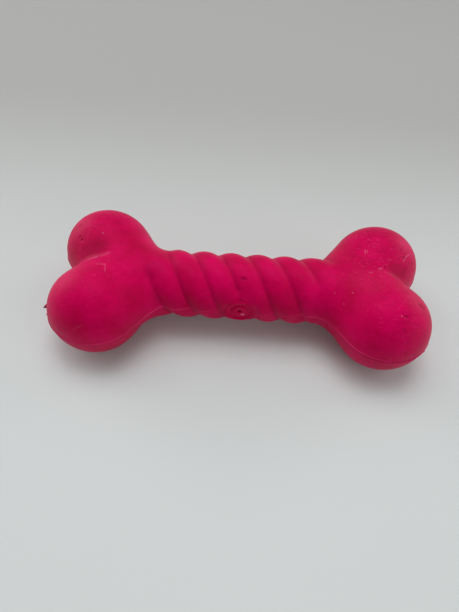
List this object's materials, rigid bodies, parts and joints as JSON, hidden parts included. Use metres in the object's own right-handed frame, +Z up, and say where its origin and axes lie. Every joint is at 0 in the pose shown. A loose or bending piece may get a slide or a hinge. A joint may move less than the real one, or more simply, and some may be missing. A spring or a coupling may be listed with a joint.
{
  "type": "rubber chew toy",
  "caption": "Hollow rubber chew bone with ball-like knobs, a rope-twist shaft and a reed squeaker set in its side seam.",
  "frame": {"origin": "on the ground under the middle of the bone: centre of the bounding box in X and Y, underside of the knobs in Z", "axes": "+X along the bone, +Z up with the moulding seam horizontal, and the squeaker facing -Y"},
  "size_m": [0.15, 0.0648, 0.0364],
  "materials": {
    "natural_rubber": "matt moulded natural rubber, through-coloured pink",
    "squeaker_plastic": "moulded polyethylene, glossy, pink like the rubber",
    "reed_film": "milky polyester strip"
  },
  "bodies": {
    "bone": {"upper_shell": "natural_rubber", "lower_shell": "natural_rubber", "squeaker_body": "squeaker_plastic", "reed_trough": "squeaker_plastic", "reed_wedge": "squeaker_plastic"},
    "reed": {"reed": "reed_film"}
  },
  "joints": [
    {"name": "reed_flutter", "type": "hinge", "parent": "bone", "child": "reed", "pos_m": [0, -0.00845, 0.0182], "axis": [1, 0, 0], "range_deg": [-2.8, 1.5], "stiffness_Nm_per_rad": 0.0001}
  ]
}
